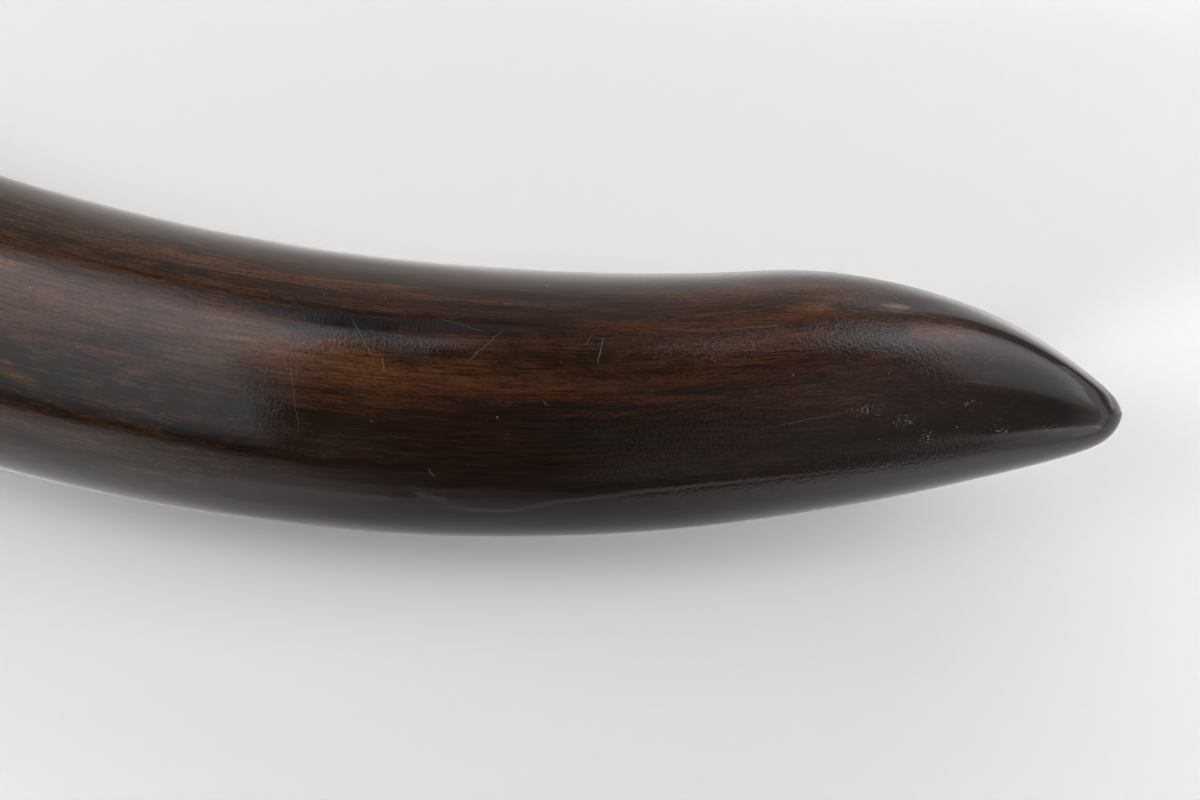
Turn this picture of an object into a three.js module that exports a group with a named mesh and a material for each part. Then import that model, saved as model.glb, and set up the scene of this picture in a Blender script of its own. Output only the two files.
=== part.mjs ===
// A mammoth tusk, worn at the tip and sawn square at the base, lying on its side.
// It grew as one piece of ivory, so it is one solid. Millimetres, +Z up, tip towards +X.
// The origin is the bottom centre of the tusk's bounding box.
import * as THREE from "three";
import { mergeVertices } from "three/addons/utils/BufferGeometryUtils.js";

// Growth spiral of the centreline, seen from above. "Along" is measured from the worn tip to the base.
const LENGTH = 1175;
const TIP_CURVE_RADIUS = 556; // radius of curvature at the tip
const CURVE_GROWTH = 0.25; // millimetres that radius gains for each millimetre along
const TIP_HEADING = THREE.MathUtils.degToRad(-15.9); // way back from the tip, up from -X

// Girth: a slim end piece, a swelling behind it, then a slow widening to the base.
const END_RADIUS = 32.6;
const SWELLING = 9.4;
const SWELLING_AT = 109;
const SWELLING_SPAN = 100;
const BASE_WIDENING = 5;

// Wear: the tip is ground away from the inside of the curve, so it ends on the outer side.
const WEAR_LENGTH = 98;
const WEAR_POWER = 0.585; // 0.5 for a rounded nose, 1 for a cone
const TIP_ROUNDING = 7.7;
const TIP_ROUNDING_FADE = 4.3;
const FACET_POWER = 1.8; // how square the worn inner side is at the tip, 0 for a round section
const FACET_END = 65; // the section is round again from here on
const TIP_RISE = 16; // height that the tip curls up off the table
const TIP_RISE_SPAN = 250;

// Growth bands round the tusk and flutes along it, both stronger towards the base.
const BAND_DEPTH = 0.5;
const BAND_PITCH = 62;
const BANDS_FROM = 0.25; // share of the length where the bands start to show
const BANDS_FULL = 0.6;
const FLUTE_DEPTH = 1.1;
const FLUTES = 5;
const FLUTE_TURNS = 0.3;

// Ledge along the outer side of the tip, where a thin layer has flaked off. Turns go from the inner
// side over the top.
const LEDGE_DEPTH = 0.7;
const LEDGE_TURN = THREE.MathUtils.degToRad(131);
const LEDGE_WIDTH = THREE.MathUtils.degToRad(4);
const FLAKE_WIDTH = THREE.MathUtils.degToRad(48); // past it the outside has its full girth again
const LEDGE_START = 8;
const LEDGE_END = 206;
const LEDGE_FADE = 22;

// Sawn base with the open pulp cavity.
const CAVITY_DEPTH = 235;
const CAVITY_RADIUS = 27;
const CAVITY_POWER = 0.8; // below 1 the hollow is a bulging cone
const SAWN_EDGE = 1.5;

// Facets
const RINGS = 112;
const RING_CROWDING = 1.35; // above 1 the rings crowd towards the tip
const CAVITY_RINGS = 12;
const SEGMENTS = 36;
const SEGMENT_CROWDING = 0.5; // 0 for even segments, above it they crowd towards the ledge

const { smoothstep } = THREE.MathUtils;

// Centreline, heading and inner-side direction at a place along the tusk, from the spiral's pole.
function spiral(along) {
  const radius = TIP_CURVE_RADIUS + CURVE_GROWTH * along;
  const heading = TIP_HEADING + Math.log(radius / TIP_CURVE_RADIUS) / CURVE_GROWTH;
  const reach = -radius / (1 + CURVE_GROWTH ** 2);
  const [sine, cosine] = [Math.sin(heading), Math.cos(heading)];
  return {
    x: reach * (CURVE_GROWTH * cosine + sine),
    y: reach * (cosine - CURVE_GROWTH * sine),
    inner: new THREE.Vector2(sine, cosine),
  };
}

function girth(along) {
  const swelling = (1 + Math.tanh((along - SWELLING_AT) / SWELLING_SPAN)) / 2;
  return END_RADIUS + SWELLING * swelling + BASE_WIDENING * (along / LENGTH) ** 2;
}

// Share of the girth that wear has left: 0 at the tip, 1 past the worn length.
function wornShare(along) {
  return (1 - Math.max(0, 1 - along / WEAR_LENGTH) ** 2) ** WEAR_POWER;
}

// How far the section's centre moves to the inner side, negative where wear pushes it outwards.
function lean(along) {
  return girth(along) * (wornShare(along) - 1) + TIP_ROUNDING * Math.exp(-along / TIP_ROUNDING_FADE);
}

// The worn part of the section is squarer on its inner side, like a soft bevel.
function squareness(along, angle) {
  const worn = 1 - smoothstep(along, 0, FACET_END);
  const power = 2 + FACET_POWER * worn * smoothstep(Math.cos(angle), 0, 1);
  return (Math.abs(Math.cos(angle)) ** power + Math.abs(Math.sin(angle)) ** power) ** (-1 / power);
}

// Growth bands and flutes, in millimetres out of the round.
function relief(along, angle) {
  const share = along / LENGTH;
  const bandDepth = BAND_DEPTH * smoothstep(share, BANDS_FROM, BANDS_FULL);
  const bands = bandDepth * Math.sin((2 * Math.PI * along) / BAND_PITCH);
  const flutes = FLUTE_DEPTH * share ** 2 * Math.cos(FLUTES * angle + 2 * Math.PI * FLUTE_TURNS * share);
  return bands + flutes;
}

// How much is missing below the ledge.
function flake(along, angle) {
  const below = angle - LEDGE_TURN;
  const drop = smoothstep(below, 0, LEDGE_WIDTH) * (1 - smoothstep(below, LEDGE_WIDTH, FLAKE_WIDTH));
  const start = smoothstep(along, LEDGE_START, LEDGE_START + LEDGE_FADE);
  const end = 1 - smoothstep(along, LEDGE_END - LEDGE_FADE, LEDGE_END);
  return LEDGE_DEPTH * drop * start * end;
}

// Height of the centreline: the underside lies on the table but for the tip, which curls up.
function axisHeight(along) {
  const rise = TIP_RISE * Math.max(0, 1 - along / TIP_RISE_SPAN) ** 2;
  return girth(along) + relief(along, -Math.PI / 2) + rise;
}

// Half outline of the straightened tusk: x is the radius, y the place along.
// It runs from the tip over the outside to the sawn face, then into the cavity to its end.
function profile() {
  const points = [];
  const sideLength = LENGTH - SAWN_EDGE;
  for (let ring = 0; ring <= RINGS; ring++) {
    const along = sideLength * (ring / RINGS) ** RING_CROWDING;
    points.push(new THREE.Vector2(girth(along) * wornShare(along), along));
  }
  points.push(new THREE.Vector2(girth(LENGTH) - SAWN_EDGE, LENGTH));
  for (let ring = 0; ring <= CAVITY_RINGS; ring++) {
    const depth = ring / CAVITY_RINGS;
    const radius = CAVITY_RADIUS * (1 - depth) ** CAVITY_POWER;
    points.push(new THREE.Vector2(radius, LENGTH - CAVITY_DEPTH * depth));
  }
  return points;
}

// Moves each vertex of the straight tusk to its place in the worn, curved one.
function grow(geometry) {
  const position = geometry.getAttribute("position");
  for (let i = 0; i < position.count; i++) {
    const along = position.getY(i);
    const even = Math.atan2(-position.getX(i), position.getZ(i));
    const angle = even - SEGMENT_CROWDING * Math.sin(even - LEDGE_TURN);
    const straight = Math.hypot(position.getX(i), position.getZ(i));
    const outside = straight > CAVITY_RADIUS || along < LENGTH - CAVITY_DEPTH;
    const bumps = relief(along, angle) - flake(along, angle);
    const radius = outside
      ? straight * squareness(along, angle) + bumps * Math.min(1, straight / END_RADIUS)
      : straight;
    const { x, y, inner } = spiral(along);
    const across = lean(along) + radius * Math.cos(angle);
    const up = axisHeight(along) + radius * Math.sin(angle);
    position.setXYZ(i, x + across * inner.x, y + across * inner.y, up);
  }
}

function standOnOrigin(geometry) {
  geometry.computeBoundingBox();
  const { min, max } = geometry.boundingBox;
  geometry.translate(-(min.x + max.x) / 2, -(min.y + max.y) / 2, -min.z);
}

const lathe = new THREE.LatheGeometry(profile(), SEGMENTS);
lathe.deleteAttribute("normal");
lathe.deleteAttribute("uv");
grow(lathe);
const tuskGeometry = mergeVertices(lathe);
standOnOrigin(tuskGeometry);
tuskGeometry.computeVertexNormals();

const polishedIvory = new THREE.MeshStandardMaterial({ color: 0x3a2216, roughness: 0.25, metalness: 0 });
const tusk = new THREE.Mesh(tuskGeometry, polishedIvory);
tusk.name = "tusk";

const part = new THREE.Group();
part.add(tusk);

export default part;
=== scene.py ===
import math

import bpy
from mathutils import Matrix, Vector


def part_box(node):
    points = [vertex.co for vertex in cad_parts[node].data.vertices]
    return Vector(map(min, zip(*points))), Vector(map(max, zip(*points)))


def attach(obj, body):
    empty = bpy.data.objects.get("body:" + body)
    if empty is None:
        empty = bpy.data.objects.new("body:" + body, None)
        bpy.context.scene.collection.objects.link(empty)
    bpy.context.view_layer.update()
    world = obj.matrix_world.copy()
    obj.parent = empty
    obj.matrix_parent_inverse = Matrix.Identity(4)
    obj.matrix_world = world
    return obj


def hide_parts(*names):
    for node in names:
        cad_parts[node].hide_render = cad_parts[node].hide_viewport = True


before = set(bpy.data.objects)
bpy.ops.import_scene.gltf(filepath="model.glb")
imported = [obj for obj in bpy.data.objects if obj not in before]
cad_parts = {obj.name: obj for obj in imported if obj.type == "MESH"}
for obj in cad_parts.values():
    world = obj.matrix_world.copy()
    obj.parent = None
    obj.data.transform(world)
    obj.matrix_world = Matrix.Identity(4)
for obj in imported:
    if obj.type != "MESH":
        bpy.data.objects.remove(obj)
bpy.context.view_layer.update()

# Tusk
# A mammoth's upper incisor: solid ivory that grew ring by ring along a widening spiral.
# The animal ground the tip away on the inside of the curve, and the root end is sawn square.
# A thin layer has flaked off along the outer side of the tip, which leaves a low ledge.
MM = 0.001
CAVITY_RADIUS = 27 * MM
SAWN_RADIUS = 45.5 * MM  # the sawn face inside its rounded edge
TUSK_SIZES = {
    "Length": 1175 * MM,
    "Tip curve radius": 556 * MM,
    "Curve growth": 0.25,
    "Tip heading": math.radians(-15.9),
    "End radius": 32.6 * MM,
    "Swelling": 9.4 * MM,
    "Swelling at": 109 * MM,
    "Swelling span": 100 * MM,
    "Base widening": 5 * MM,
    "Wear length": 98 * MM,
    "Wear power": 0.585,
    "Tip rounding": 7.7 * MM,
    "Tip rounding fade": 4.3 * MM,
    "Facet power": 1.8,
    "Facet end": 65 * MM,
    "Tip rise": 16 * MM,
    "Tip rise span": 250 * MM,
    "Band depth": 0.3 * MM,
    "Band pitch": 62 * MM,
    "Flute depth": 1.1 * MM,
    "Flutes": 5.0,
    "Flute turns": 0.3,
    "Lump depth": 0.5 * MM,
    "Ledge depth": 0.25 * MM,
    "Ledge width": math.radians(2.2),
    "Flake width": math.radians(48),
    "Sawn edge": 1.5 * MM,
    "Cavity depth": 235 * MM,
    "Cavity share": CAVITY_RADIUS / SAWN_RADIUS,
    "Cavity power": 0.8,
}
BASE_RADIUS = TUSK_SIZES["End radius"] + TUSK_SIZES["Swelling"] + TUSK_SIZES["Base widening"]
# Places on the ledge, from the tip: distance along in millimetres, degrees from the top to the outer side.
LEDGE = [(8, 18), (26, 34), (45, 41), (130, 40), (160, 45), (184, 51), (198, 43), (210, 29)]
LEDGE_LENGTH = 220 * MM
# The skin's mesh is finest towards the tip and round the ledge.
RINGS = 380
RING_CROWDING = 1.45
SEGMENTS = 224
SEGMENT_CROWDING = 0.55
LEDGE_TURN = math.radians(131)  # from the inner side over the top
# Of the base's rows, the first share rounds the sawn edge, the sawn face goes on to the second share,
# and the pulp cavity has the rest.
BASE_ROWS = 41
EDGE_SHARE = 0.15
SAWN_SHARE = 0.4
FULL_TURN = 2 * math.pi


def node(tree, kind, inputs=None, **settings):
    """Adds one node. Inputs are socket values, sockets or whole nodes, whose first live output is taken."""
    added = tree.nodes.new(kind)
    for name, value in settings.items():
        setattr(added, name, value)
    for key, value in (inputs or {}).items():
        if isinstance(value, bpy.types.Node):
            value = next(socket for socket in value.outputs if socket.enabled)
        if isinstance(value, bpy.types.NodeSocket):
            tree.links.new(value, added.inputs[key])
        else:
            added.inputs[key].default_value = value
    return added


GRID = "GeometryNodeMeshGrid"
STORE = "GeometryNodeStoreNamedAttribute"
PER_POINT = {"data_type": "FLOAT_VECTOR", "domain": "POINT"}
MATH = "ShaderNodeMath"
VECTOR = "ShaderNodeVectorMath"
SPLIT = "ShaderNodeSeparateXYZ"
JOIN = "ShaderNodeCombineXYZ"
NOISE = "ShaderNodeTexNoise"
RANGE = "ShaderNodeMapRange"
EASED = {"interpolation_type": "SMOOTHSTEP"}
grow = bpy.data.node_groups.new("grow_tusk", "GeometryNodeTree")
for name in TUSK_SIZES:
    grow.interface.new_socket(name, in_out="INPUT", socket_type="NodeSocketFloat")
grow.interface.new_socket("Tusk", in_out="OUTPUT", socket_type="NodeSocketGeometry")
size = node(grow, "NodeGroupInput").outputs


def crowded(even):
    """Turn round the tusk whose steps crowd towards the ledge."""
    past_ledge = node(grow, MATH, {0: even, 1: LEDGE_TURN}, operation="SUBTRACT")
    wave = node(grow, MATH, {0: past_ledge}, operation="SINE")
    return node(grow, MATH, {0: wave, 1: -SEGMENT_CROWDING, 2: even}, operation="MULTIPLY_ADD")


# Outside: a sheet of rings, with its seam along the underside.
skin = node(grow, GRID, {"Size X": 1, "Size Y": 1, "Vertices X": RINGS, "Vertices Y": SEGMENTS + 1})
skin_uv = node(grow, SPLIT, {0: skin.outputs["UV Map"]})
skin_share = node(grow, MATH, {0: skin_uv.outputs[0], 1: RING_CROWDING}, operation="POWER")
skin_length = node(grow, MATH, {0: size["Length"], 1: size["Sawn edge"]}, operation="SUBTRACT")
skin_along = node(grow, MATH, {0: skin_share, 1: skin_length}, operation="MULTIPLY")
skin_round = {0: skin_uv.outputs[1], 1: FULL_TURN, 2: -FULL_TURN / 4}
skin_turn = crowded(node(grow, MATH, skin_round, operation="MULTIPLY_ADD"))
skin_place = node(grow, JOIN, {0: skin_along, 1: skin_turn, 2: 1})
skin_sheet = node(grow, STORE, {"Geometry": skin, "Name": "unrolled", "Value": skin_place}, **PER_POINT)

# Sawn face and pulp cavity: a second sheet, round the sawn edge, inwards and then down to the cavity's end.
base = node(grow, GRID, {"Size X": 1, "Size Y": 1, "Vertices X": BASE_ROWS, "Vertices Y": SEGMENTS + 1})
base_uv = node(grow, SPLIT, {0: base.outputs["UV Map"]})
base_row = base_uv.outputs[0]
edge_turn = node(grow, RANGE, {0: base_row, 1: 0, 2: EDGE_SHARE, 3: 0, 4: FULL_TURN / 4})
edge_out = node(grow, MATH, {0: edge_turn}, operation="COSINE")
edge_back = node(grow, MATH, {0: edge_turn}, operation="SINE")
edge_share = node(grow, MATH, {0: size["Sawn edge"], 1: BASE_RADIUS}, operation="DIVIDE")
edge_inset = node(grow, MATH, {0: edge_out, 1: 1}, operation="SUBTRACT")
edge_in = node(grow, MATH, {0: edge_inset, 1: edge_share, 2: 1}, operation="MULTIPLY_ADD")
face_in = node(grow, RANGE, {0: base_row, 1: EDGE_SHARE, 2: SAWN_SHARE, 3: 1, 4: size["Cavity share"]})
base_depth = node(grow, RANGE, {0: base_row, 1: SAWN_SHARE, 2: 1, 3: 0, 4: 1})
cavity_left = node(grow, MATH, {0: 1, 1: base_depth}, operation="SUBTRACT")
cavity_taper = node(grow, MATH, {0: cavity_left, 1: size["Cavity power"]}, operation="POWER")
face_share = node(grow, MATH, {0: face_in, 1: cavity_taper}, operation="MULTIPLY")
base_share = node(grow, MATH, {0: face_share, 1: edge_in}, operation="MULTIPLY")
edge_along = node(
    grow, MATH, {0: edge_back, 1: size["Sawn edge"], 2: skin_length}, operation="MULTIPLY_ADD"
)
cavity_back = node(grow, MATH, {0: base_depth, 1: size["Cavity depth"]}, operation="MULTIPLY")
base_along = node(grow, MATH, {0: edge_along, 1: cavity_back}, operation="SUBTRACT")
base_round = {0: base_uv.outputs[1], 1: -FULL_TURN, 2: FULL_TURN * 3 / 4}
base_turn = crowded(node(grow, MATH, base_round, operation="MULTIPLY_ADD"))
base_place = node(grow, JOIN, {0: base_along, 1: base_turn, 2: base_share})
base_placed = node(grow, STORE, {"Geometry": base, "Name": "unrolled", "Value": base_place}, **PER_POINT)
past_edge = node(grow, MATH, {0: base_row, 1: EDGE_SHARE}, operation="GREATER_THAN")
base_mark = {"Geometry": base_placed, "Name": "sawn", "Value": past_edge}
base_sheet = node(grow, STORE, base_mark, data_type="FLOAT", domain="FACE")
sheets = node(grow, "GeometryNodeJoinGeometry", {0: skin_sheet})
grow.links.new(base_sheet.outputs[0], sheets.inputs[0])
unrolled = node(grow, "GeometryNodeInputNamedAttribute", {"Name": "unrolled"}, data_type="FLOAT_VECTOR")
along, turn, share = node(grow, SPLIT, {0: unrolled}).outputs
length_share = node(grow, MATH, {0: along, 1: size["Length"]}, operation="DIVIDE")
length_square = node(grow, MATH, {0: length_share, 1: 2}, operation="POWER")

# Girth: a slim end piece, a swelling behind it, then a slow widening to the base.
past_swelling = node(grow, MATH, {0: along, 1: size["Swelling at"]}, operation="SUBTRACT")
swelling_step = node(grow, MATH, {0: past_swelling, 1: size["Swelling span"]}, operation="DIVIDE")
swelling_curve = node(grow, MATH, {0: swelling_step}, operation="TANH")
swelling_share = node(grow, MATH, {0: swelling_curve, 1: 0.5, 2: 0.5}, operation="MULTIPLY_ADD")
swollen = node(
    grow, MATH, {0: swelling_share, 1: size["Swelling"], 2: size["End radius"]}, operation="MULTIPLY_ADD"
)
girth = node(grow, MATH, {0: length_square, 1: size["Base widening"], 2: swollen}, operation="MULTIPLY_ADD")

# Wear: what is left of the girth near the tip, and how far the section's middle moves to the outer side.
wear_left = node(grow, RANGE, {0: along, 1: 0, 2: size["Wear length"], 3: 1, 4: 0})
wear_square = node(grow, MATH, {0: wear_left, 1: 2}, operation="POWER")
wear_round = node(grow, MATH, {0: 1, 1: wear_square}, operation="SUBTRACT")
worn = node(grow, MATH, {0: wear_round, 1: size["Wear power"]}, operation="POWER")
worn_girth = node(grow, MATH, {0: girth, 1: worn}, operation="MULTIPLY")
wear_shift = node(grow, MATH, {0: worn_girth, 1: girth}, operation="SUBTRACT")
tip_step = node(grow, MATH, {0: along, 1: size["Tip rounding fade"]}, operation="DIVIDE")
tip_fade = node(grow, MATH, {0: tip_step, 1: -1}, operation="MULTIPLY")
tip_round = node(grow, MATH, {0: tip_fade}, operation="EXPONENT")
lean = node(grow, MATH, {0: tip_round, 1: size["Tip rounding"], 2: wear_shift}, operation="MULTIPLY_ADD")

# Section: round, but squarer on the worn inner side, like a soft bevel.
inward = node(grow, MATH, {0: turn}, operation="COSINE")
upward = node(grow, MATH, {0: turn}, operation="SINE")
facet_along = node(grow, RANGE, {0: along, 1: 0, 2: size["Facet end"], 3: 1, 4: 0}, **EASED)
facet_inner = node(grow, RANGE, {0: inward, 1: 0, 2: 1, 3: 0, 4: 1}, **EASED)
facet = node(grow, MATH, {0: facet_along, 1: facet_inner}, operation="MULTIPLY")
power = node(grow, MATH, {0: facet, 1: size["Facet power"], 2: 2}, operation="MULTIPLY_ADD")
inward_size = node(grow, MATH, {0: inward}, operation="ABSOLUTE")
upward_size = node(grow, MATH, {0: upward}, operation="ABSOLUTE")
inward_power = node(grow, MATH, {0: inward_size, 1: power}, operation="POWER")
upward_power = node(grow, MATH, {0: upward_size, 1: power}, operation="POWER")
power_sum = node(grow, MATH, {0: inward_power, 1: upward_power}, operation="ADD")
power_root = node(grow, MATH, {0: -1, 1: power}, operation="DIVIDE")
squareness = node(grow, MATH, {0: power_sum, 1: power_root}, operation="POWER")
round_reach = node(grow, MATH, {0: worn_girth, 1: share}, operation="MULTIPLY")
reach = node(grow, MATH, {0: round_reach, 1: squareness}, operation="MULTIPLY")

# Relief: growth bands round the tusk and flutes along it, both stronger towards the base.
BANDS_FROM = 0.25
BANDS_FULL = 0.6
band_share = node(
    grow, RANGE, {0: length_share, 1: BANDS_FROM, 2: BANDS_FULL, 3: 0, 4: size["Band depth"]}, **EASED
)
band_count = node(grow, MATH, {0: along, 1: size["Band pitch"]}, operation="DIVIDE")
band_turn = node(grow, MATH, {0: band_count, 1: FULL_TURN}, operation="MULTIPLY")
band_wave = node(grow, MATH, {0: band_turn}, operation="SINE")
bands = node(grow, MATH, {0: band_wave, 1: band_share}, operation="MULTIPLY")
flute_twist = node(grow, MATH, {0: size["Flute turns"], 1: FULL_TURN}, operation="MULTIPLY")
flute_shift = node(grow, MATH, {0: length_share, 1: flute_twist}, operation="MULTIPLY")
flute_turn = node(grow, MATH, {0: turn, 1: size["Flutes"], 2: flute_shift}, operation="MULTIPLY_ADD")
flute_wave = node(grow, MATH, {0: flute_turn}, operation="COSINE")
flute_share = node(grow, MATH, {0: length_square, 1: size["Flute depth"]}, operation="MULTIPLY")
grown_relief = node(grow, MATH, {0: flute_wave, 1: flute_share, 2: bands}, operation="MULTIPLY_ADD")
under_turn = node(
    grow, MATH, {0: size["Flutes"], 1: -FULL_TURN / 4, 2: flute_shift}, operation="MULTIPLY_ADD"
)
under_wave = node(grow, MATH, {0: under_turn}, operation="COSINE")
under_relief = node(grow, MATH, {0: under_wave, 1: flute_share, 2: bands}, operation="MULTIPLY_ADD")

# Hand polishing left soft lumps, longer along the fibres than across them.
LUMP_LENGTH = 55 * MM
LUMP_WIDTH = 17 * MM
reach_in = node(grow, MATH, {0: reach, 1: inward}, operation="MULTIPLY")
reach_up = node(grow, MATH, {0: reach, 1: upward}, operation="MULTIPLY")
straight = node(grow, JOIN, {0: along, 1: reach_in, 2: reach_up})
lump_size = (1 / LUMP_LENGTH, 1 / LUMP_WIDTH, 1 / LUMP_WIDTH)
lump_place = node(grow, VECTOR, {0: straight, 1: lump_size}, operation="MULTIPLY")
lump_noise = node(grow, NOISE, {"Vector": lump_place, "Scale": 1, "Detail": 1})
lump_height = node(grow, MATH, {0: lump_noise.outputs[0], 1: 0.5}, operation="SUBTRACT")
lumpy = node(grow, MATH, {0: lump_height, 1: size["Lump depth"], 2: grown_relief}, operation="MULTIPLY_ADD")

# Ledge: the surface drops past it and comes back slowly to the full girth on the outer side. The drop is
# shallow by the tip, deepens behind the worn part and ends in a tongue.
RAGGED_LENGTH = 14 * MM
RAGGED_TURN = math.radians(5)
SHALLOW_FROM, SHALLOW_FULL = 6 * MM, 30 * MM
SHALLOW_SHARE = 0.15
DEEP_FROM, DEEP_FULL = 75 * MM, 150 * MM
TONGUE_FROM, TONGUE_END = 194 * MM, 212 * MM
ledge_step = node(grow, RANGE, {0: along, 1: 0, 2: LEDGE_LENGTH, 3: 0, 4: 1})
ledge_line = node(grow, "ShaderNodeFloatCurve", {"Value": ledge_step})
ledge_points = ledge_line.mapping.curves[0].points
ledge_places = [(at * MM / LEDGE_LENGTH, degrees / 90) for at, degrees in LEDGE]
ledge_points[0].location = ledge_places[0]
ledge_points[1].location = ledge_places[-1]
for ledge_place in ledge_places[1:-1]:
    ledge_points.new(*ledge_place)
ledge_line.mapping.update()
ledge_top = FULL_TURN / 4 + RAGGED_TURN / 2
ledge_turn = node(grow, MATH, {0: ledge_line, 1: FULL_TURN / 4, 2: ledge_top}, operation="MULTIPLY_ADD")
ragged_place = node(grow, VECTOR, {0: straight, "Scale": 1 / RAGGED_LENGTH}, operation="SCALE")
ragged = node(grow, NOISE, {"Vector": ragged_place, "Scale": 1, "Detail": 2})
ragged_turn = node(grow, MATH, {0: ragged.outputs[0], 1: RAGGED_TURN, 2: turn}, operation="MULTIPLY_ADD")
below_ledge = node(grow, MATH, {0: ragged_turn, 1: ledge_turn}, operation="SUBTRACT")
drop = node(
    grow, RANGE, {0: below_ledge, 1: 0, 2: size["Ledge width"], 3: 0, 4: size["Ledge depth"]}, **EASED
)
recovery = node(
    grow, RANGE, {0: below_ledge, 1: size["Ledge width"], 2: size["Flake width"], 3: 1, 4: 0}, **EASED
)
ledge_start = node(
    grow, RANGE, {0: along, 1: SHALLOW_FROM, 2: SHALLOW_FULL, 3: 0, 4: SHALLOW_SHARE}, **EASED
)
ledge_grow = node(grow, RANGE, {0: along, 1: DEEP_FROM, 2: DEEP_FULL, 3: 0, 4: 1 - SHALLOW_SHARE}, **EASED)
ledge_end = node(grow, RANGE, {0: along, 1: TONGUE_FROM, 2: TONGUE_END, 3: 1, 4: 0}, **EASED)
ledge_rise = node(grow, MATH, {0: ledge_start, 1: ledge_grow}, operation="ADD")
ledge_share = node(grow, MATH, {0: ledge_rise, 1: ledge_end}, operation="MULTIPLY")
flaked = node(grow, MATH, {0: drop, 1: recovery}, operation="MULTIPLY")
flake = node(grow, MATH, {0: flaked, 1: ledge_share}, operation="MULTIPLY")
relief = node(grow, MATH, {0: lumpy, 1: flake}, operation="SUBTRACT")
relief_share = node(grow, RANGE, {0: share, 1: size["Cavity share"], 2: 1, 3: 0, 4: worn})
radius = node(grow, MATH, {0: relief, 1: relief_share, 2: reach}, operation="MULTIPLY_ADD")

# Height of the centreline: the underside lies on the table but for the tip, which curls up.
rise_left = node(grow, RANGE, {0: along, 1: 0, 2: size["Tip rise span"], 3: 1, 4: 0})
rise_curve = node(grow, MATH, {0: rise_left, 1: 2}, operation="POWER")
rise = node(grow, MATH, {0: rise_curve, 1: size["Tip rise"], 2: under_relief}, operation="MULTIPLY_ADD")
axis_height = node(grow, MATH, {0: girth, 1: rise}, operation="ADD")

# Growth spiral: its radius of curvature widens steadily, and the heading follows from it.
widening = size["Curve growth"]
tip_curve = size["Tip curve radius"]
curve_radius = node(grow, MATH, {0: along, 1: widening, 2: tip_curve}, operation="MULTIPLY_ADD")
curve_ratio = node(grow, MATH, {0: curve_radius, 1: tip_curve}, operation="DIVIDE")
curve_log = node(grow, MATH, {0: curve_ratio, 1: math.e}, operation="LOGARITHM")
heading_gain = node(grow, MATH, {0: curve_log, 1: widening}, operation="DIVIDE")
heading = node(grow, MATH, {0: heading_gain, 1: size["Tip heading"]}, operation="ADD")
sine = node(grow, MATH, {0: heading}, operation="SINE")
cosine = node(grow, MATH, {0: heading}, operation="COSINE")
growth_square = node(grow, MATH, {0: widening, 1: widening, 2: 1}, operation="MULTIPLY_ADD")
pole_reach = node(grow, MATH, {0: curve_radius, 1: growth_square}, operation="DIVIDE")
pole_x = node(grow, MATH, {0: cosine, 1: widening, 2: sine}, operation="MULTIPLY_ADD")
growth_sine = node(grow, MATH, {0: sine, 1: widening}, operation="MULTIPLY")
pole_y = node(grow, MATH, {0: cosine, 1: growth_sine}, operation="SUBTRACT")
axis_x = node(grow, MATH, {0: pole_reach, 1: pole_x}, operation="MULTIPLY")
axis_y = node(grow, MATH, {0: pole_reach, 1: pole_y}, operation="MULTIPLY")

# Each point goes to its place round the centreline. Its straightened place stays with it, for the grain.
MERGE_REACH = 0.01 * MM
SHARP_CORNER = math.radians(50)
SHADE = "GeometryNodeSetShadeSmooth"
across = node(grow, MATH, {0: radius, 1: inward, 2: lean}, operation="MULTIPLY_ADD")
point_z = node(grow, MATH, {0: radius, 1: upward, 2: axis_height}, operation="MULTIPLY_ADD")
across_x = node(grow, MATH, {0: across, 1: sine}, operation="MULTIPLY")
across_y = node(grow, MATH, {0: across, 1: cosine}, operation="MULTIPLY")
point_x = node(grow, MATH, {0: across_x, 1: axis_x}, operation="SUBTRACT")
point_y = node(grow, MATH, {0: across_y, 1: axis_y}, operation="SUBTRACT")
point = node(grow, JOIN, {0: point_x, 1: point_y, 2: point_z})
grained = node(grow, STORE, {"Geometry": sheets, "Name": "straight", "Value": straight}, **PER_POINT)
ledge_mark = node(grow, JOIN, {0: below_ledge, 1: ledge_share})
ledged = node(grow, STORE, {"Geometry": grained, "Name": "ledge", "Value": ledge_mark}, **PER_POINT)
grown = node(grow, "GeometryNodeSetPosition", {"Geometry": ledged, "Position": point})
closed = node(grow, "GeometryNodeMergeByDistance", {"Geometry": grown, "Distance": MERGE_REACH})
smooth = node(grow, SHADE, {"Geometry": closed, "Shade Smooth": True})
corner = node(grow, "GeometryNodeInputMeshEdgeAngle")
sharp = node(grow, MATH, {0: corner.outputs[0], 1: SHARP_CORNER}, operation="GREATER_THAN")
edged = node(grow, SHADE, {"Geometry": smooth, "Selection": sharp, "Shade Smooth": False}, domain="EDGE")
realized = node(grow, "GeometryNodeRealizeInstances", {0: edged})


def linear(hex_colour):
    """Linear colour with full alpha from an sRGB hex value."""
    shares = [int(hex_colour[i:i + 2], 16) / 255 for i in (1, 3, 5)]
    return [s / 12.92 if s <= 0.04045 else ((s + 0.055) / 1.055) ** 2.4 for s in shares] + [1]


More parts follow.
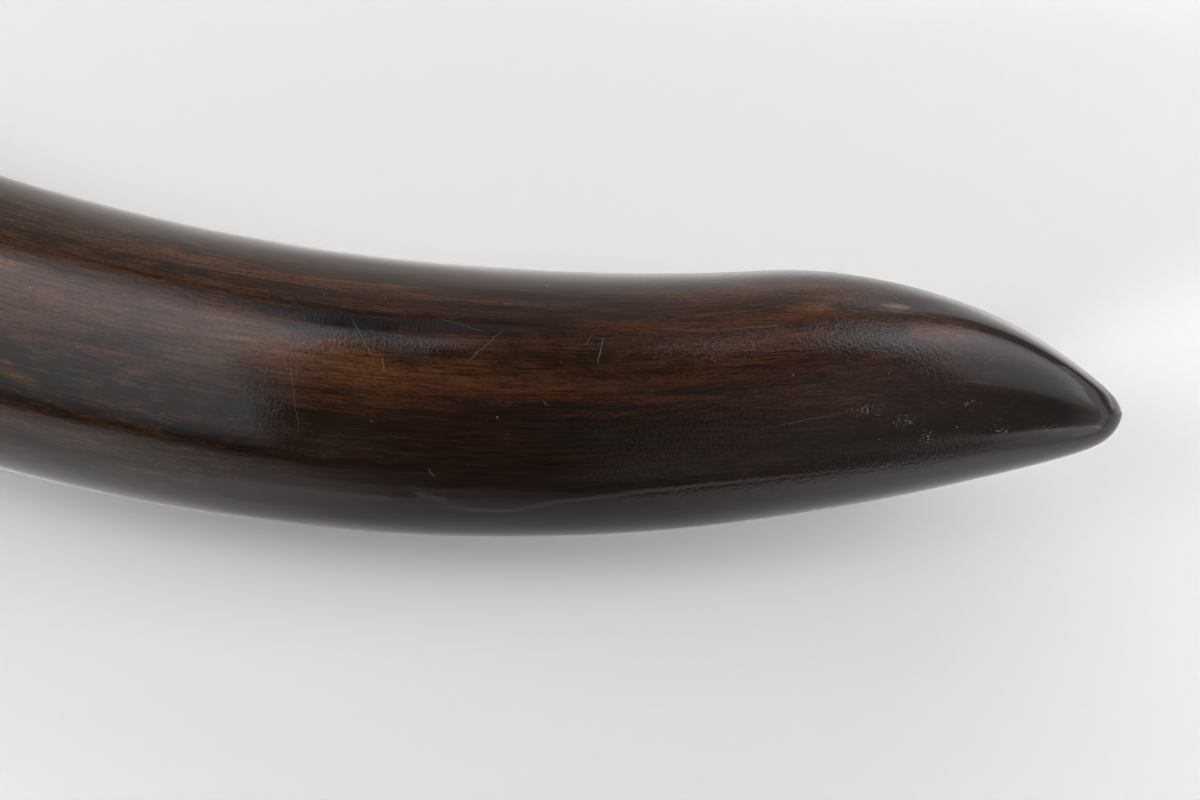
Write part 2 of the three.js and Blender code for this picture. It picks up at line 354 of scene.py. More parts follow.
# Lacquered fossil ivory: minerals in the ground dyed it from near black on the outer side to amber on top.
# The eye sees fibres along the length, dark flecks and stains under a thin clear lacquer, which is
# slightly crinkled and scratched, so that its highlights break up at their edges. One black patch
# among the stains is painted shade.
MIX = "ShaderNodeMix"
SKIN_RADIUS = 42  # millimetres, which turns angles into lengths round the skin
SKIN_DEGREE = math.radians(1) * SKIN_RADIUS
lacquered = bpy.data.materials.new("lacquered_fossil_ivory")
lacquered.use_nodes = True
look = lacquered.node_tree
look.nodes.clear()
grain_place = node(look, "ShaderNodeAttribute", attribute_name="straight")
in_mm = node(look, VECTOR, {0: grain_place.outputs["Vector"], "Scale": 1 / MM}, operation="SCALE")
along_mm, inner_mm, up_mm = node(look, SPLIT, {0: in_mm}).outputs
tilt = node(look, MATH, {0: inner_mm, 1: up_mm}, operation="ARCTAN2")
around_mm = node(look, MATH, {0: tilt, 1: SKIN_RADIUS}, operation="MULTIPLY")
flat = node(look, JOIN, {0: along_mm, 1: around_mm})


def grain(length, width, detail, roughness):
    """Noise drawn out along the tusk. Its length and width are in millimetres."""
    place = node(look, VECTOR, {0: in_mm, 1: (1 / length, 1 / width, 1 / width)}, operation="MULTIPLY")
    return node(look, NOISE, {"Vector": place, "Scale": 1, "Detail": detail, "Roughness": roughness})


streak = grain(length=130, width=6, detail=5, roughness=0.62)
fibre = grain(length=14, width=0.6, detail=3, roughness=0.6)
fleck = grain(length=1.6, width=0.45, detail=2, roughness=0.7)

# The dye is warm from the top to the inner side, and wanders towards the base. Places are in millimetres,
# along the tusk or round it from the top to the inner side.
WANDER_LENGTH = 170
WANDER_FROM, WANDER_FULL = 320, 480
WANDER_REACH = 60
STREAK_REACH = 30
WARM_FROM, WARM_FULL = -17, 9
UNDER_FROM, UNDER_FULL = 75, 115
TIP_FROM, TIP_FULL = 15, 95
TIP_WARMTH = 0.25
wander = node(look, NOISE, {"W": along_mm, "Scale": 1 / WANDER_LENGTH, "Detail": 1}, noise_dimensions="1D")
wander_from = node(look, RANGE, {0: along_mm, 1: WANDER_FROM, 2: WANDER_FULL, 3: 0, 4: WANDER_REACH})
wander_step = node(look, MATH, {0: wander, 1: 0.5}, operation="SUBTRACT")
wander_mm = node(look, MATH, {0: wander_step, 1: wander_from, 2: around_mm}, operation="MULTIPLY_ADD")
streak_step = node(look, MATH, {0: streak, 1: 0.5}, operation="SUBTRACT")
dye_edge = node(look, MATH, {0: streak_step, 1: STREAK_REACH, 2: wander_mm}, operation="MULTIPLY_ADD")
warm_side = node(look, RANGE, {0: dye_edge, 1: WARM_FROM, 2: WARM_FULL, 3: 0, 4: 1}, **EASED)
under_side = node(look, RANGE, {0: wander_mm, 1: UNDER_FROM, 2: UNDER_FULL, 3: 1, 4: 0}, **EASED)
tip_side = node(look, RANGE, {0: along_mm, 1: TIP_FROM, 2: TIP_FULL, 3: TIP_WARMTH, 4: 1}, **EASED)
warm_skin = node(look, MATH, {0: warm_side, 1: under_side}, operation="MULTIPLY")
warmth = node(look, MATH, {0: warm_skin, 1: tip_side}, operation="MULTIPLY")
tone = node(look, RANGE, {0: streak, 1: 0.3, 2: 0.7, 3: 0.15, 4: 1.15})
warm_dye = node(look, MATH, {0: warmth, 1: tone}, operation="MULTIPLY")
dark_dye = node(look, RANGE, {0: streak, 1: 0.35, 2: 0.7, 3: 0, 4: 0.45})
dye = node(look, MATH, {0: warm_dye, 1: dark_dye}, operation="MAXIMUM")
stained_and_shaded = node(look, "ShaderNodeValToRGB", {0: dye})
dye_colours = stained_and_shaded.color_ramp.elements
dye_colours[0].color = linear("#1a110d")
dye_colours[1].color = linear("#4a2c1a")
dye_colours.new(0.35).color = linear("#241610")
dye_colours.new(0.65).color = linear("#372014")


def on_skin(at, degrees):
    """Place on the flattened skin, in millimetres along it and round it."""
    return Vector((at, degrees * SKIN_DEGREE, 0))


def patch(place_mm, middle, half_length, half_width, turned=0):
    """Place in an oval patch of the skin, whose edge is at a distance of 1."""
    return node(
        look, "ShaderNodeMapping",
        {"Vector": place_mm, "Location": middle, "Rotation": (0, 0, turned),
         "Scale": (half_length, half_width, 1)},
        vector_type="TEXTURE",
    )


def nearest(distances):
    """The least of the distances at each place on the skin."""
    least = distances[0]
    for distance in distances[1:]:
        least = node(look, MATH, {0: least, 1: distance}, operation="MINIMUM")
    return least


# Stains, and one patch of painted shade: millimetres along, degrees from the top to the inner side, half
# length, half width, colour, depth.
STAINS_AND_SHADE = [
    (225, 8, 30, 12, "#56351d", 0.45),
    (250, 15, 26, 9, "#5a3822", 0.5),
    (322, 12, 40, 12, "#5c3c29", 0.55),
    (329, 24, 7, 3, "#7a5740", 0.5),
    (204, 19, 16, 9, "#2c1b12", 0.65),
    (330, 39, 34, 5, "#1f1510", 0.5),
    (175, 8, 45, 5, "#4a2c1a", 0.4),
    (165, 19, 50, 8, "#1d130e", 0.85),
    (235, 37, 14, 5, "#1c1a13", 0.6),
    (325, 50, 25, 8, "#26221d", 0.5),
    (95, 24, 20, 6, "#553222", 0.45),
    (82, -2, 32, 20, "#33201a", 0.55),
    (20, -5, 14, 20, "#0f0c0a", 0.6),
    (226, 28.5, 27, 9, "#0f0d0b", 0.9),
    (308, -6, 26, 8, "#1b211a", 0.3),
    (291, -14, 34, 8, "#181f1f", 0.35),
    (281, 7, 13, 4, "#1d2119", 0.4),
    (276, -24, 50, 3.5, "#120d0b", 0.5),
    (300, -31, 40, 4, "#2e1a12", 0.4),
    # Painted shade: a black patch where the reflection of the left softbox ends. It is not a stain on the
    # ivory.
    (247, -8, 9, 7, "#0f0b0a", 0.7),
    (318, -17, 7, 1.8, "#63401f", 0.5),
    (322, -13, 5, 1.4, "#63401f", 0.5),
    (312, -19, 4, 1, "#63401f", 0.4),
    (305, -40, 50, 12, "#3a281e", 0.5),
    (283, -5, 5, 1.8, "#5f4024", 0.5),
    (286, -10, 4, 1, "#5f4024", 0.45),
    (273, 5, 9, 4, "#4a4029", 0.45),
    (262, 6, 8, 5, "#4a4029", 0.45),
    (252, 14, 8, 4, "#54462e", 0.4),
    (223, -22, 20, 8, "#33281a", 0.5),
    (186, -14, 20, 7, "#2c1a12", 0.4),
    (150, -13, 20, 7, "#151a19", 0.6),
    (85, 42, 8, 4, "#6d3d20", 0.55),
    (76, 49, 6, 3, "#56321f", 0.45),
    (84, 59, 12, 1.2, "#6a4436", 0.5),
    (60, 47, 4, 3, "#6e5f47", 0.65),
    (59, 43, 12, 0.7, "#6a3a19", 0.6),
    (49, 33, 12, 9, "#5d3420", 0.62),
    (33, 25, 9, 7, "#3a2218", 0.4),
    (42, 3, 8, 1, "#55301a", 0.5),
]
FRAY = (2.2, 2.2, 0)  # of a stain's or the painted shade's half length and half width
blur = grain(length=14, width=4, detail=3, roughness=0.65)
blur_step = node(look, VECTOR, {0: blur.outputs["Color"], 1: (0.5, 0.5, 0.5)}, operation="SUBTRACT")
for at, degrees, half_length, half_width, colour, depth in STAINS_AND_SHADE:
    inside = patch(flat, on_skin(at, degrees), half_length, half_width * SKIN_DEGREE)
    frayed = node(look, VECTOR, {0: blur_step, 1: FRAY, 2: inside}, operation="MULTIPLY_ADD")
    from_middle = node(look, VECTOR, {0: frayed}, operation="LENGTH")
    strength = node(look, RANGE, {0: from_middle, 1: 0.2, 2: 1.4, 3: depth, 4: 0}, **EASED)
    stained_and_shaded = node(look, MIX, {0: strength, 6: stained_and_shaded, 7: linear(colour)}, data_type="RGBA")

# Rust mottles the ivory towards the base.
RUST_FROM, RUST_FULL = 225, 265
RUST_SHARE = 0.55
mottle = grain(length=9, width=2.2, detail=4, roughness=0.65)
mottle_from = node(look, RANGE, {0: along_mm, 1: RUST_FROM, 2: RUST_FULL, 3: 0, 4: RUST_SHARE})
mottle_share = node(look, RANGE, {0: mottle, 1: 0.48, 2: 0.66, 3: 0, 4: mottle_from})
mottled = node(look, MIX, {0: mottle_share, 6: stained_and_shaded, 7: linear("#4b3421")}, data_type="RGBA")

# Fibres lighten and darken the dye, and black flecks lie between them.
fibre_light = node(look, RANGE, {0: fibre, 1: 0.3, 2: 0.7, 3: 0.45, 4: 1.6})
fibred = node(look, VECTOR, {0: mottled, "Scale": fibre_light}, operation="SCALE")
fleck_share = node(look, RANGE, {0: fleck, 1: 0.44, 2: 0.7, 3: 0, 4: 0.7})
flecked = node(look, MIX, {0: fleck_share, 6: fibred, 7: linear("#120d0a")}, data_type="RGBA")

# Scratches in the lacquer: both ends as millimetres along and degrees to the inner side, then half width.
SCRATCHES = [
    (225, 32, 217, 15, 0.176),
    (221, 25, 217, 27, 0.12),
    (214, 16, 213, 9, 0.16),
    (200, 36, 184, 30, 0.16),
    (178, 33, 190, 15, 0.176),
    (152, 31, 155, 25, 0.176),
    (149, 30, 151, 16, 0.2),
    (247, 9, 247, -12, 0.12),
    (241, 12, 235, -21, 0.12),
    (261, -11, 252, -20, 0.144),
    (250, 11, 253, 4, 0.12),
    (245, -12, 240, -9, 0.16),
    (108, -16, 76, -11, 0.16),
    (114, 32, 90, 32, 0.16),
    (167, 1, 165, -1, 0.24),
    (199, -29, 197, -34, 0.24),
]
JITTER_LENGTH = 2.5
JITTER_REACH = (0.9, 0.9, 0)
jitter = node(look, NOISE, {"Vector": flat, "Scale": 1 / JITTER_LENGTH, "Detail": 1}, noise_dimensions="2D")
jitter_step = node(look, VECTOR, {0: jitter.outputs["Color"], 1: (0.5, 0.5, 0.5)}, operation="SUBTRACT")
shaky = node(look, VECTOR, {0: jitter_step, 1: JITTER_REACH, 2: flat}, operation="MULTIPLY_ADD")
scratch_distances = []
for along_1, degrees_1, along_2, degrees_2, half_width in SCRATCHES:
    start = on_skin(along_1, degrees_1)
    end = on_skin(along_2, degrees_2)
    run = end - start
    scratch = patch(shaky, (start + end) / 2, run.length / 2, half_width, math.atan2(run.y, run.x))
    scratch_distances.append(node(look, VECTOR, {0: scratch}, operation="LENGTH"))
scratched = node(look, RANGE, {0: nearest(scratch_distances), 1: 0.5, 2: 1, 3: 1, 4: 0})

# Small chips in the lacquer by the tip, in zones given like the stains, and dust all over.
CHIP_ZONES = [
    (74, -12, 10, 5),
    (64, -19, 7, 6),
    (58, -29, 5, 8),
    (44, -10, 5, 5),
    (37, -30, 5, 12),
    (25, -31, 8, 7),
    (18, -36, 5, 6),
]
CHIP_SIZE = 1.1
DUST_SPACING = 4.5
DUST_REACH = 0.05  # of that spacing
chip_distances = []
for at, degrees, half_length, half_width in CHIP_ZONES:
    inside = patch(flat, on_skin(at, degrees), half_length, half_width * SKIN_DEGREE)
    chip_distances.append(node(look, VECTOR, {0: inside}, operation="LENGTH"))
chip_zone = node(look, RANGE, {0: nearest(chip_distances), 1: 0.3, 2: 1.5, 3: 0.17, 4: -0.1})
chip_grain = {"Vector": flat, "Scale": 1 / CHIP_SIZE, "Detail": 4, "Roughness": 0.8}
chip_noise = node(look, NOISE, chip_grain, noise_dimensions="2D")
chip_level = node(look, MATH, {0: chip_noise, 1: chip_zone}, operation="ADD")
chipped = node(look, RANGE, {0: chip_level, 1: 0.75, 2: 0.79, 3: 0, 4: 1})
dust_cell = node(look, "ShaderNodeTexVoronoi", {"Vector": in_mm, "Scale": 1 / DUST_SPACING})
dust_size = node(look, "ShaderNodeSeparateColor", {0: dust_cell.outputs["Color"]})
dust_reach = node(look, RANGE, {0: dust_size, 1: 0.5, 2: 1, 3: 0, 4: DUST_REACH})
dusty = node(look, MATH, {0: dust_cell.outputs["Distance"], 1: dust_reach}, operation="LESS_THAN")
scratch_light = node(look, MATH, {0: scratched, 1: 0.08}, operation="MULTIPLY")
worn_skin = node(look, MIX, {0: scratch_light, 6: flecked, 7: linear("#7d746b")}, data_type="RGBA")
chip_light = node(look, MATH, {0: chipped, 1: dusty}, operation="MAXIMUM")
chip_share = node(look, MATH, {0: chip_light, 1: 0.55}, operation="MULTIPLY")
skin_colour = node(look, MIX, {0: chip_share, 6: worn_skin, 7: linear("#8f8a83")}, data_type="RGBA")

# Relief of the lacquer, in millimetres: crinkle, fibres, scratches, chips and the crack along the ledge.
# The crinkle is deepest behind the worn tip.
CRINKLE_SIZE = 1
CRINKLE_TIP, CRINKLE_DEEP, CRINKLE_REST = 0.012, 0.13, 0.015
CRINKLE_FROM, CRINKLE_FULL = 35, 65
CRINKLE_FADE, CRINKLE_END = 110, 165
FIBRE_HEIGHT = 0.012
SCRATCH_DEPTH = 0.04
CHIP_DEPTH = 0.1
CRACK_WIDTH = 0.35
CRACK_DEPTH = 0.04
SMUDGE_SIZE = 9
ledge_record = node(look, "ShaderNodeAttribute", attribute_name="ledge")
ledge_axes = node(look, SPLIT, {0: ledge_record.outputs["Vector"]})
ledge_mm = node(look, MATH, {0: ledge_axes.outputs[0], 1: SKIN_RADIUS}, operation="MULTIPLY")
crack_far = node(look, MATH, {0: ledge_mm}, operation="ABSOLUTE")
crack_share = node(look, RANGE, {0: crack_far, 1: 0, 2: CRACK_WIDTH, 3: 1, 4: 0})
crack_depth = node(look, RANGE, {0: blur, 1: 0.4, 2: 0.65, 3: 0, 4: ledge_axes.outputs[1]})
crack = node(look, MATH, {0: crack_share, 1: crack_depth}, operation="MULTIPLY")
crinkle = node(look, NOISE, {"Vector": in_mm, "Scale": 1 / CRINKLE_SIZE, "Detail": 3})
crinkle_start = node(
    look, RANGE, {0: along_mm, 1: CRINKLE_FROM, 2: CRINKLE_FULL, 3: CRINKLE_TIP, 4: CRINKLE_DEEP}
)
crinkle_end = node(
    look, RANGE, {0: along_mm, 1: CRINKLE_FADE, 2: CRINKLE_END, 3: CRINKLE_DEEP, 4: CRINKLE_REST}
)
crinkle_depth = node(look, MATH, {0: crinkle_start, 1: crinkle_end}, operation="MINIMUM")
height = node(look, MATH, {0: crinkle, 1: crinkle_depth}, operation="MULTIPLY")
height = node(look, MATH, {0: fibre, 1: FIBRE_HEIGHT, 2: height}, operation="MULTIPLY_ADD")
marks = [(scratched, SCRATCH_DEPTH), (chipped, CHIP_DEPTH), (crack, CRACK_DEPTH)]
for mark, mark_depth in marks:
    height = node(look, MATH, {0: mark, 1: -mark_depth, 2: height}, operation="MULTIPLY_ADD")
lacquer_bump = node(look, "ShaderNodeBump", {"Strength": 1, "Distance": MM, "Height": height})
smudge = node(look, NOISE, {"Vector": in_mm, "Scale": 1 / SMUDGE_SIZE, "Detail": 3})
smudged = node(look, RANGE, {0: smudge, 1: 0.3, 2: 0.7, 3: 0.06, 4: 0.13})
damage = node(look, MATH, {0: scratched, 1: chip_light}, operation="MAXIMUM")
gloss = node(look, MIX, {0: damage, 2: smudged, 3: 0.6}, data_type="FLOAT")
ivory = node(
    look, "ShaderNodeBsdfPrincipled",
    {"Base Color": skin_colour, "Roughness": gloss, "IOR": 1.5, "Normal": lacquer_bump},
)
node(look, "ShaderNodeOutputMaterial", {"Surface": ivory})

# Sawn ivory, left bare: a dark rind round pale growth rings, crossed by the fine checks that ivory shows
# across its fibres, and a matt brown wall down in the pulp cavity.
# Its sizes are in millimetres too.
RING_WIDTH = 3.2
CHECKS = 46  # of each hand round the face
CHECK_LEAN = 1.6  # radians for each millimetre out
CLOUD_SIZE = 12
CLOUD_REACH = 3
RIND_FROM, RIND_FULL = 42, 47
CAVITY_FROM, CAVITY_FULL = 0.5, 12
SAW_SPACING = 2.2
sawn = bpy.data.materials.new("sawn_fossil_ivory")
sawn.use_nodes = True
cut = sawn.node_tree
cut.nodes.clear()
cut_place = node(cut, "ShaderNodeAttribute", attribute_name="straight")
cut_mm = node(cut, VECTOR, {0: cut_place.outputs["Vector"], "Scale": 1 / MM}, operation="SCALE")
cut_axes = node(cut, SPLIT, {0: cut_mm})
cut_across = node(cut, JOIN, {1: cut_axes.outputs[1], 2: cut_axes.outputs[2]})
cut_radius = node(cut, VECTOR, {0: cut_across}, operation="LENGTH")
cut_cloud = node(cut, NOISE, {"Vector": cut_mm, "Scale": 1 / CLOUD_SIZE, "Detail": 4, "Roughness": 0.6})
cut_shift = node(cut, MATH, {0: cut_cloud, 1: CLOUD_REACH, 2: cut_radius}, operation="MULTIPLY_ADD")
ring_turn = node(cut, MATH, {0: cut_shift, 1: FULL_TURN / RING_WIDTH}, operation="MULTIPLY")
ring_wave = node(cut, MATH, {0: ring_turn}, operation="SINE")
cut_turn = node(cut, MATH, {0: cut_axes.outputs[1], 1: cut_axes.outputs[2]}, operation="ARCTAN2")
check_turn = node(cut, MATH, {0: cut_turn, 1: CHECKS}, operation="MULTIPLY")
check_lean = node(cut, MATH, {0: cut_radius, 1: CHECK_LEAN}, operation="MULTIPLY")
check_right = node(cut, MATH, {0: check_turn, 1: check_lean}, operation="ADD")
check_left = node(cut, MATH, {0: check_turn, 1: check_lean}, operation="SUBTRACT")
check_right_wave = node(cut, MATH, {0: check_right}, operation="SINE")
check_left_wave = node(cut, MATH, {0: check_left}, operation="SINE")
checks = node(cut, MATH, {0: check_right_wave, 1: check_left_wave}, operation="MULTIPLY")
ring_share = node(cut, MATH, {0: ring_wave, 1: 0.12, 2: 0.5}, operation="MULTIPLY_ADD")
cut_pattern = node(cut, MATH, {0: checks, 1: 0.14, 2: ring_share}, operation="MULTIPLY_ADD")
cut_tone = node(cut, MATH, {0: cut_cloud, 1: 0.5, 2: cut_pattern}, operation="MULTIPLY_ADD")
cut_brown = node(cut, RANGE, {0: cut_tone, 1: 0.4, 2: 1.1, 3: 0, 4: 1})
cut_ivory = node(cut, MIX, {0: cut_brown, 6: linear("#5b3d25"), 7: linear("#a98359")}, data_type="RGBA")
rind = node(cut, RANGE, {0: cut_shift, 1: RIND_FROM, 2: RIND_FULL, 3: 0, 4: 0.9}, **EASED)
rinded = node(cut, MIX, {0: rind, 6: cut_ivory, 7: linear("#2a1a11")}, data_type="RGBA")
cavity_mm = node(cut, MATH, {0: TUSK_SIZES["Length"] / MM, 1: cut_axes.outputs[0]}, operation="SUBTRACT")
cavity = node(cut, RANGE, {0: cavity_mm, 1: CAVITY_FROM, 2: CAVITY_FULL, 3: 0, 4: 0.92})
walled = node(cut, MIX, {0: cavity, 6: rinded, 7: linear("#2b1c12")}, data_type="RGBA")
saw_wave = {"Vector": cut_mm, "Scale": 1 / SAW_SPACING, "Distortion": 1.5}
saw_mark = node(cut, "ShaderNodeTexWave", saw_wave, bands_direction="Z")
saw_height = node(cut, MATH, {0: saw_mark.outputs["Fac"], 1: 0.03}, operation="MULTIPLY")
cut_height = node(cut, MATH, {0: cut_cloud, 1: 0.5, 2: saw_height}, operation="MULTIPLY_ADD")
cut_bump = node(cut, "ShaderNodeBump", {"Strength": 1, "Distance": MM, "Height": cut_height})
cut_gloss = node(cut, RANGE, {0: cut_cloud, 1: 0.3, 2: 0.7, 3: 0.42, 4: 0.62})
bare_ivory = node(
    cut, "ShaderNodeBsdfPrincipled",
    {"Base Color": walled, "Roughness": cut_gloss, "IOR": 1.54, "Normal": cut_bump},
)
node(cut, "ShaderNodeOutputMaterial", {"Surface": bare_ivory})

PAINT = "GeometryNodeSetMaterial"
skinned = node(grow, PAINT, {"Geometry": realized, "Material": lacquered})
sawn_part = node(grow, "GeometryNodeInputNamedAttribute", {"Name": "sawn"}, data_type="FLOAT")
finished = node(grow, PAINT, {"Geometry": skinned, "Selection": sawn_part, "Material": sawn})
node(grow, "NodeGroupOutput", {0: finished})

seed = bpy.data.objects.new("tusk_seed", bpy.data.meshes.new("tusk_seed"))
bpy.context.scene.collection.objects.link(seed)
growth = seed.modifiers.new("growth", "NODES")
growth.node_group = grow
for socket in grow.interface.items_tree:
    if socket.in_out == "INPUT":
        growth[socket.identifier] = TUSK_SIZES[socket.name]
grown_seed = seed.evaluated_get(bpy.context.evaluated_depsgraph_get())
tusk_mesh = bpy.data.meshes.new_from_object(grown_seed)
bpy.data.objects.remove(seed)

lowest = Vector(map(min, *(v.co for v in tusk_mesh.vertices)))
highest = Vector(map(max, *(v.co for v in tusk_mesh.vertices)))
middle = (lowest + highest) / 2
tusk_mesh.transform(Matrix.Translation((-middle.x, -middle.y, -lowest.z)))
tusk = bpy.data.objects.new("tusk_ivory", tusk_mesh)
bpy.context.scene.collection.objects.link(tusk)
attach(tusk, "root")
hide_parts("tusk")

# Floor
# A round table top covered with one sheet of paper, on which the tusk lies loose.
# Matt white paper has no gloss, so it shows the soft shadow and nothing else.
FLOOR_RADIUS = 2.3
FLOOR_SIDES = 96
floor_turns = [FULL_TURN * side / FLOOR_SIDES for side in range(FLOOR_SIDES)]
floor_edge = [
    (FLOOR_RADIUS * math.cos(turned), FLOOR_RADIUS * math.sin(turned), 0) for turned in floor_turns
]
floor_mesh = bpy.data.meshes.new("floor")
floor_mesh.from_pydata(floor_edge, [], [range(FLOOR_SIDES)])
floor = bpy.data.objects.new("floor", floor_mesh)
bpy.context.scene.collection.objects.link(floor)
paper = bpy.data.materials.new("white_paper")
paper.use_nodes = True
paper_sheet = paper.node_tree.nodes["Principled BSDF"].inputs
paper_sheet["Base Color"].default_value = linear("#f2f2f2")
paper_sheet["Roughness"].default_value = 0.9
paper_sheet["Specular IOR Level"].default_value = 0.0
floor_mesh.materials.append(paper)
floor.visible_glossy = False

# Camera
# It looks straight down on the tip end of the tusk, whose other end goes out of the frame on the left.
# Its middle is placed from the tip and from the outer side of the curve.
VIEW_HEIGHT = 950 * MM
VIEW_WIDTH = 360 * MM
MID_HEIGHT = 42 * MM
TIP_MARGIN = 155.38 * MM
OUTER_MARGIN = 40.93 * MM
low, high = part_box("tusk")
view_x = high.x - TIP_MARGIN
view_y = low.y + OUTER_MARGIN
lens = bpy.data.cameras.new("camera")
lens.sensor_width = 36
lens.lens = lens.sensor_width * VIEW_HEIGHT / VIEW_WIDTH
camera = bpy.data.objects.new("camera", lens)
camera.location = (view_x, view_y, MID_HEIGHT + VIEW_HEIGHT)
bpy.context.scene.collection.objects.link(camera)
bpy.context.scene.camera = camera

# Light
# Six soft lights above the table light the paper and the ivory's colours. Softboxes, walls and glowing
# floors show in the lacquer alone, as its highlights, and the white world shows to the camera alone.
WORLD_LIGHT = 0.8
world = bpy.data.worlds.new("studio")
bpy.context.scene.world = world
world.use_nodes = True
world.node_tree.nodes["Background"].inputs[0].default_value = (1, 1, 1, 1)
world.node_tree.nodes["Background"].inputs[1].default_value = WORLD_LIGHT
world.cycles_visibility.diffuse = False
world.cycles_visibility.glossy = False
DOWN = (0, 0, 0)
UP = (180, 0, 0)
FROM_NEAR = (90, 0, 0)
FROM_FAR = (-90, 0, 0)
FROM_RIGHT = (90, 0, 90)
WHITE = "#ffffff"
COOL = "#f2f5ff"
EVEN = [(0, 1)]


def panel(name, middle, size, turn, reflected, colour, crossways, lengthways=EVEN):
    """A light panel, placed from the camera's foot, that is either reflected only or lights only.

    Its radiance follows the stops across its height, each a distance in metres from its middle and a value,
    times the stops along its length.
    """
    lamp = bpy.data.lights.new(name, "AREA")
    lamp.shape = "RECTANGLE"
    lamp.size, lamp.size_y = size
    lamp.use_nodes = True
    glow = lamp.node_tree
    glow.nodes.clear()
    sheet = node(glow, "ShaderNodeNewGeometry")
    sheet_axes = node(glow, SPLIT, {0: sheet.outputs["Parametric"]})
    peak = 1
    fades = []
    for axis, stops in enumerate((lengthways, crossways)):
        highest_stop = max(value for at, value in stops)
        peak *= highest_stop
        fade = node(glow, "ShaderNodeValToRGB", {0: sheet_axes.outputs[axis]})
        ramp = fade.color_ramp.elements
        ramp.remove(ramp[1])
        for index, (at, value) in enumerate(stops):
            share = 0.5 + at / size[axis]
            stop = ramp.new(share) if index else ramp[0]
            stop.position = share
            stop.color = [value / highest_stop] * 3 + [1]
        fades.append(fade)
    strength = node(glow, MATH, {0: fades[0], 1: fades[1]}, operation="MULTIPLY")
    shine = node(glow, "ShaderNodeEmission", {"Color": linear(colour), "Strength": strength})
    node(glow, "ShaderNodeOutputLight", {"Surface": shine})
    lamp.energy = math.pi * lamp.size * lamp.size_y * peak
    thing = bpy.data.objects.new(name, lamp)
    thing.location = (view_x + middle[0], view_y + middle[1], middle[2])
    thing.rotation_euler = [math.radians(degrees) for degrees in turn]
    thing.visible_camera = False
    thing.visible_glossy = reflected
    thing.visible_diffuse = not reflected
    bpy.context.scene.collection.objects.link(thing)


# Lights on the paper and the colours: middle, size and radiance.
LIGHTS = {
    "left_near_light": ((-1.1, -1.1), (1.2, 0.4), 20.2),
    "left_light": ((-1.2, 0.4), (1, 0.6), 5.2),
    "left_close_light": ((-0.4, 0.2), (0.6, 0.2), 3.3),
    "far_light": ((0, 1.5), (2.6, 0.8), 5.5),
    "right_light": ((1.8, 0.2), (1.8, 0.6), 10.8),
    "right_far_light": ((2, 0.9), (1.4, 0.8), 5.7),
}
LIGHT_HEIGHT = 0.8
for light_name, (light_middle, light_size, radiance) in LIGHTS.items():
    panel(light_name, (*light_middle, LIGHT_HEIGHT), light_size, DOWN, False, WHITE, [(0, radiance)])

# Softboxes overhead. Where two overlap, one hangs lower, because lamps in one plane hide each other.
HIGH = 0.79
LOW = 0.785
LEFT_SIZE = (1.4, 3.04)
LEFT_TURN = (0, 0, -8.9)
LEFT_SOFTBOX = [(-1.5, 0.1), (-1.2, 0.65), (-0.5, 1.2), (-0.2, 1.6), (0, 2.1), (0.3, 2.1), (0.6, 0)]
panel("left_softbox", (-0.755, 0.608, HIGH), LEFT_SIZE, LEFT_TURN, True, COOL, LEFT_SOFTBOX)
LEFT_SOFTBOX_TOP = [(0.3, 0), (0.6, 1.45), (0.7, 1.25), (1.1, 0.4)]
panel("left_softbox_top", (-0.825, 0.608, LOW), LEFT_SIZE, LEFT_TURN, True, COOL, LEFT_SOFTBOX_TOP)
RIGHT_SOFTBOX = [
    (-1.2, 0), (-1.1, 0.1), (-0.9, 1), (-0.7, 1.3), (-0.4, 2.4), (-0.2, 2.7), (0, 2.7), (0.4, 2.1),
    (0.7, 1.6),
]
RIGHT_START = [(-1.25, 0.85), (-1.1, 1)]
panel("right_softbox", (1.75, 1.2, HIGH), (2.5, 2.4), DOWN, True, COOL, RIGHT_SOFTBOX, RIGHT_START)
RIGHT_END = [
    (-0.65, 0.2), (-0.4, 0.3), (-0.3, 0.5), (-0.1, 2), (0, 2.4), (0.1, 2.4), (0.3, 1.5), (0.6, 0.6),
]
RIGHT_END_FADE = [(-0.16, 0), (-0.1, 0.12), (-0.05, 0.48), (0.23, 0.95)]
panel("right_softbox_end", (0.27, 0.9, HIGH), (0.46, 1.3), DOWN, True, COOL, RIGHT_END, RIGHT_END_FADE)
RIGHT_HAZE = [(-1.65, 0.04), (-1.5, 0.24), (-1.2, 0.2), (-0.65, 0.2), (-0.35, 0.45), (0.3, 0.7)]
panel("right_haze", (1.7, -0.9, LOW), (3.3, 2.3), DOWN, True, WHITE, EVEN, RIGHT_HAZE)
panel("ceiling", (0, 0, 2.5), (16, 16), DOWN, True, WHITE, [(0, 0.02)])

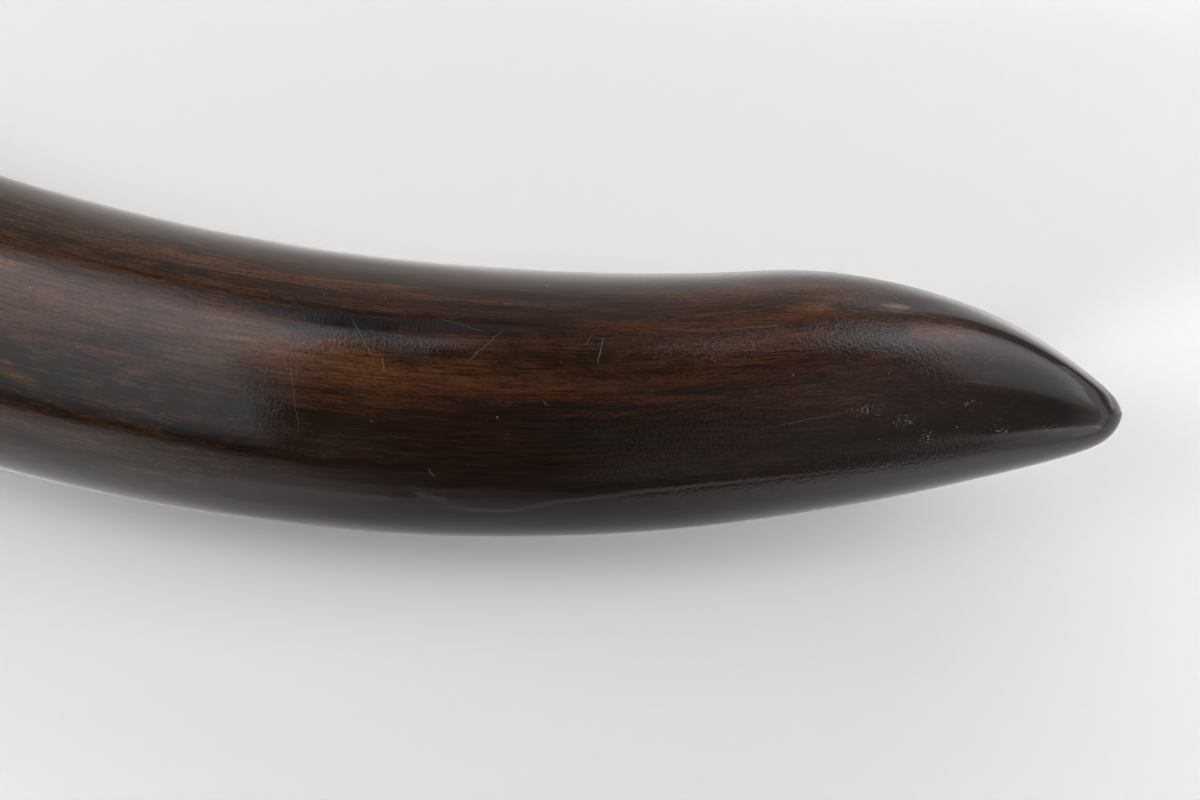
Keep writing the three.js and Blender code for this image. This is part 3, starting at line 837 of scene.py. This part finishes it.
# Walls round the table.
FAR_WALL = [(-0.4, 0.6), (0, 1)]
FAR_WALL_FADE = [(-1, 0.28), (0, 0.4)]
panel("far_wall", (1, 2.5, 0.4), (6, 0.8), FROM_FAR, True, WHITE, FAR_WALL, FAR_WALL_FADE)
RIGHT_WALL = [(-0.4, 0.3), (-0.2, 1.2)]
panel("right_wall", (3.5, 0, 0.45), (5, 0.9), FROM_RIGHT, True, WHITE, RIGHT_WALL)
NEAR_WALL_FADE = [(-1.1, 1), (-0.5, 0.45), (-0.3, 0.25), (0.3, 0.08), (0.8, 0.15), (1.2, 0.6), (2, 1.4)]
panel("near_wall", (0, -2.5, 0.225), (8, 0.45), FROM_NEAR, True, WHITE, EVEN, NEAR_WALL_FADE)
NEAR_TOP = [(-0.1, 1), (0.45, 0.5)]
NEAR_TOP_FADE = [
    (-1.1, 1.1), (-0.9, 0.75), (-0.4, 0.17), (-0.2, 0.02), (0.9, 0.13), (1.2, 0.35), (2, 1.6),
]
panel("near_wall_top", (0, -2.5, 0.9), (8, 0.9), FROM_NEAR, True, WHITE, NEAR_TOP, NEAR_TOP_FADE)

# Glowing floors, just above the paper, for the rims of the tusk.
GLOW_HEIGHT = 0.002
GLOW_SIZE = (8, 2.5)
NEAR_FLOOR = [(-1, 1), (-0.6, 0.85), (0, 0.75)]
NEAR_FLOOR_FADE = [(-0.24, 1), (-0.2, 0.88), (-0.08, 0.4), (0.03, 0.38), (0.1, 0.58), (0.18, 0.95)]
panel("near_floor", (0, -1.25, GLOW_HEIGHT), GLOW_SIZE, UP, True, WHITE, NEAR_FLOOR, NEAR_FLOOR_FADE)
FAR_FLOOR = [(0.85, 0.45), (1.05, 0.55), (1.15, 0.85), (1.19, 1.1), (1.2, 0.9), (1.22, 0.5)]
FAR_FLOOR_FADE = [
    (0.06, 1), (0.1, 0.85), (0.12, 1.1), (0.14, 2), (0.16, 2.5), (0.2, 3), (0.3, 2.8), (0.45, 1),
    (0.55, 0.6),
]
panel("far_floor", (0, 1.25, GLOW_HEIGHT), GLOW_SIZE, UP, True, WHITE, FAR_FLOOR, FAR_FLOOR_FADE)
bpy.context.scene.view_settings.view_transform = "Standard"
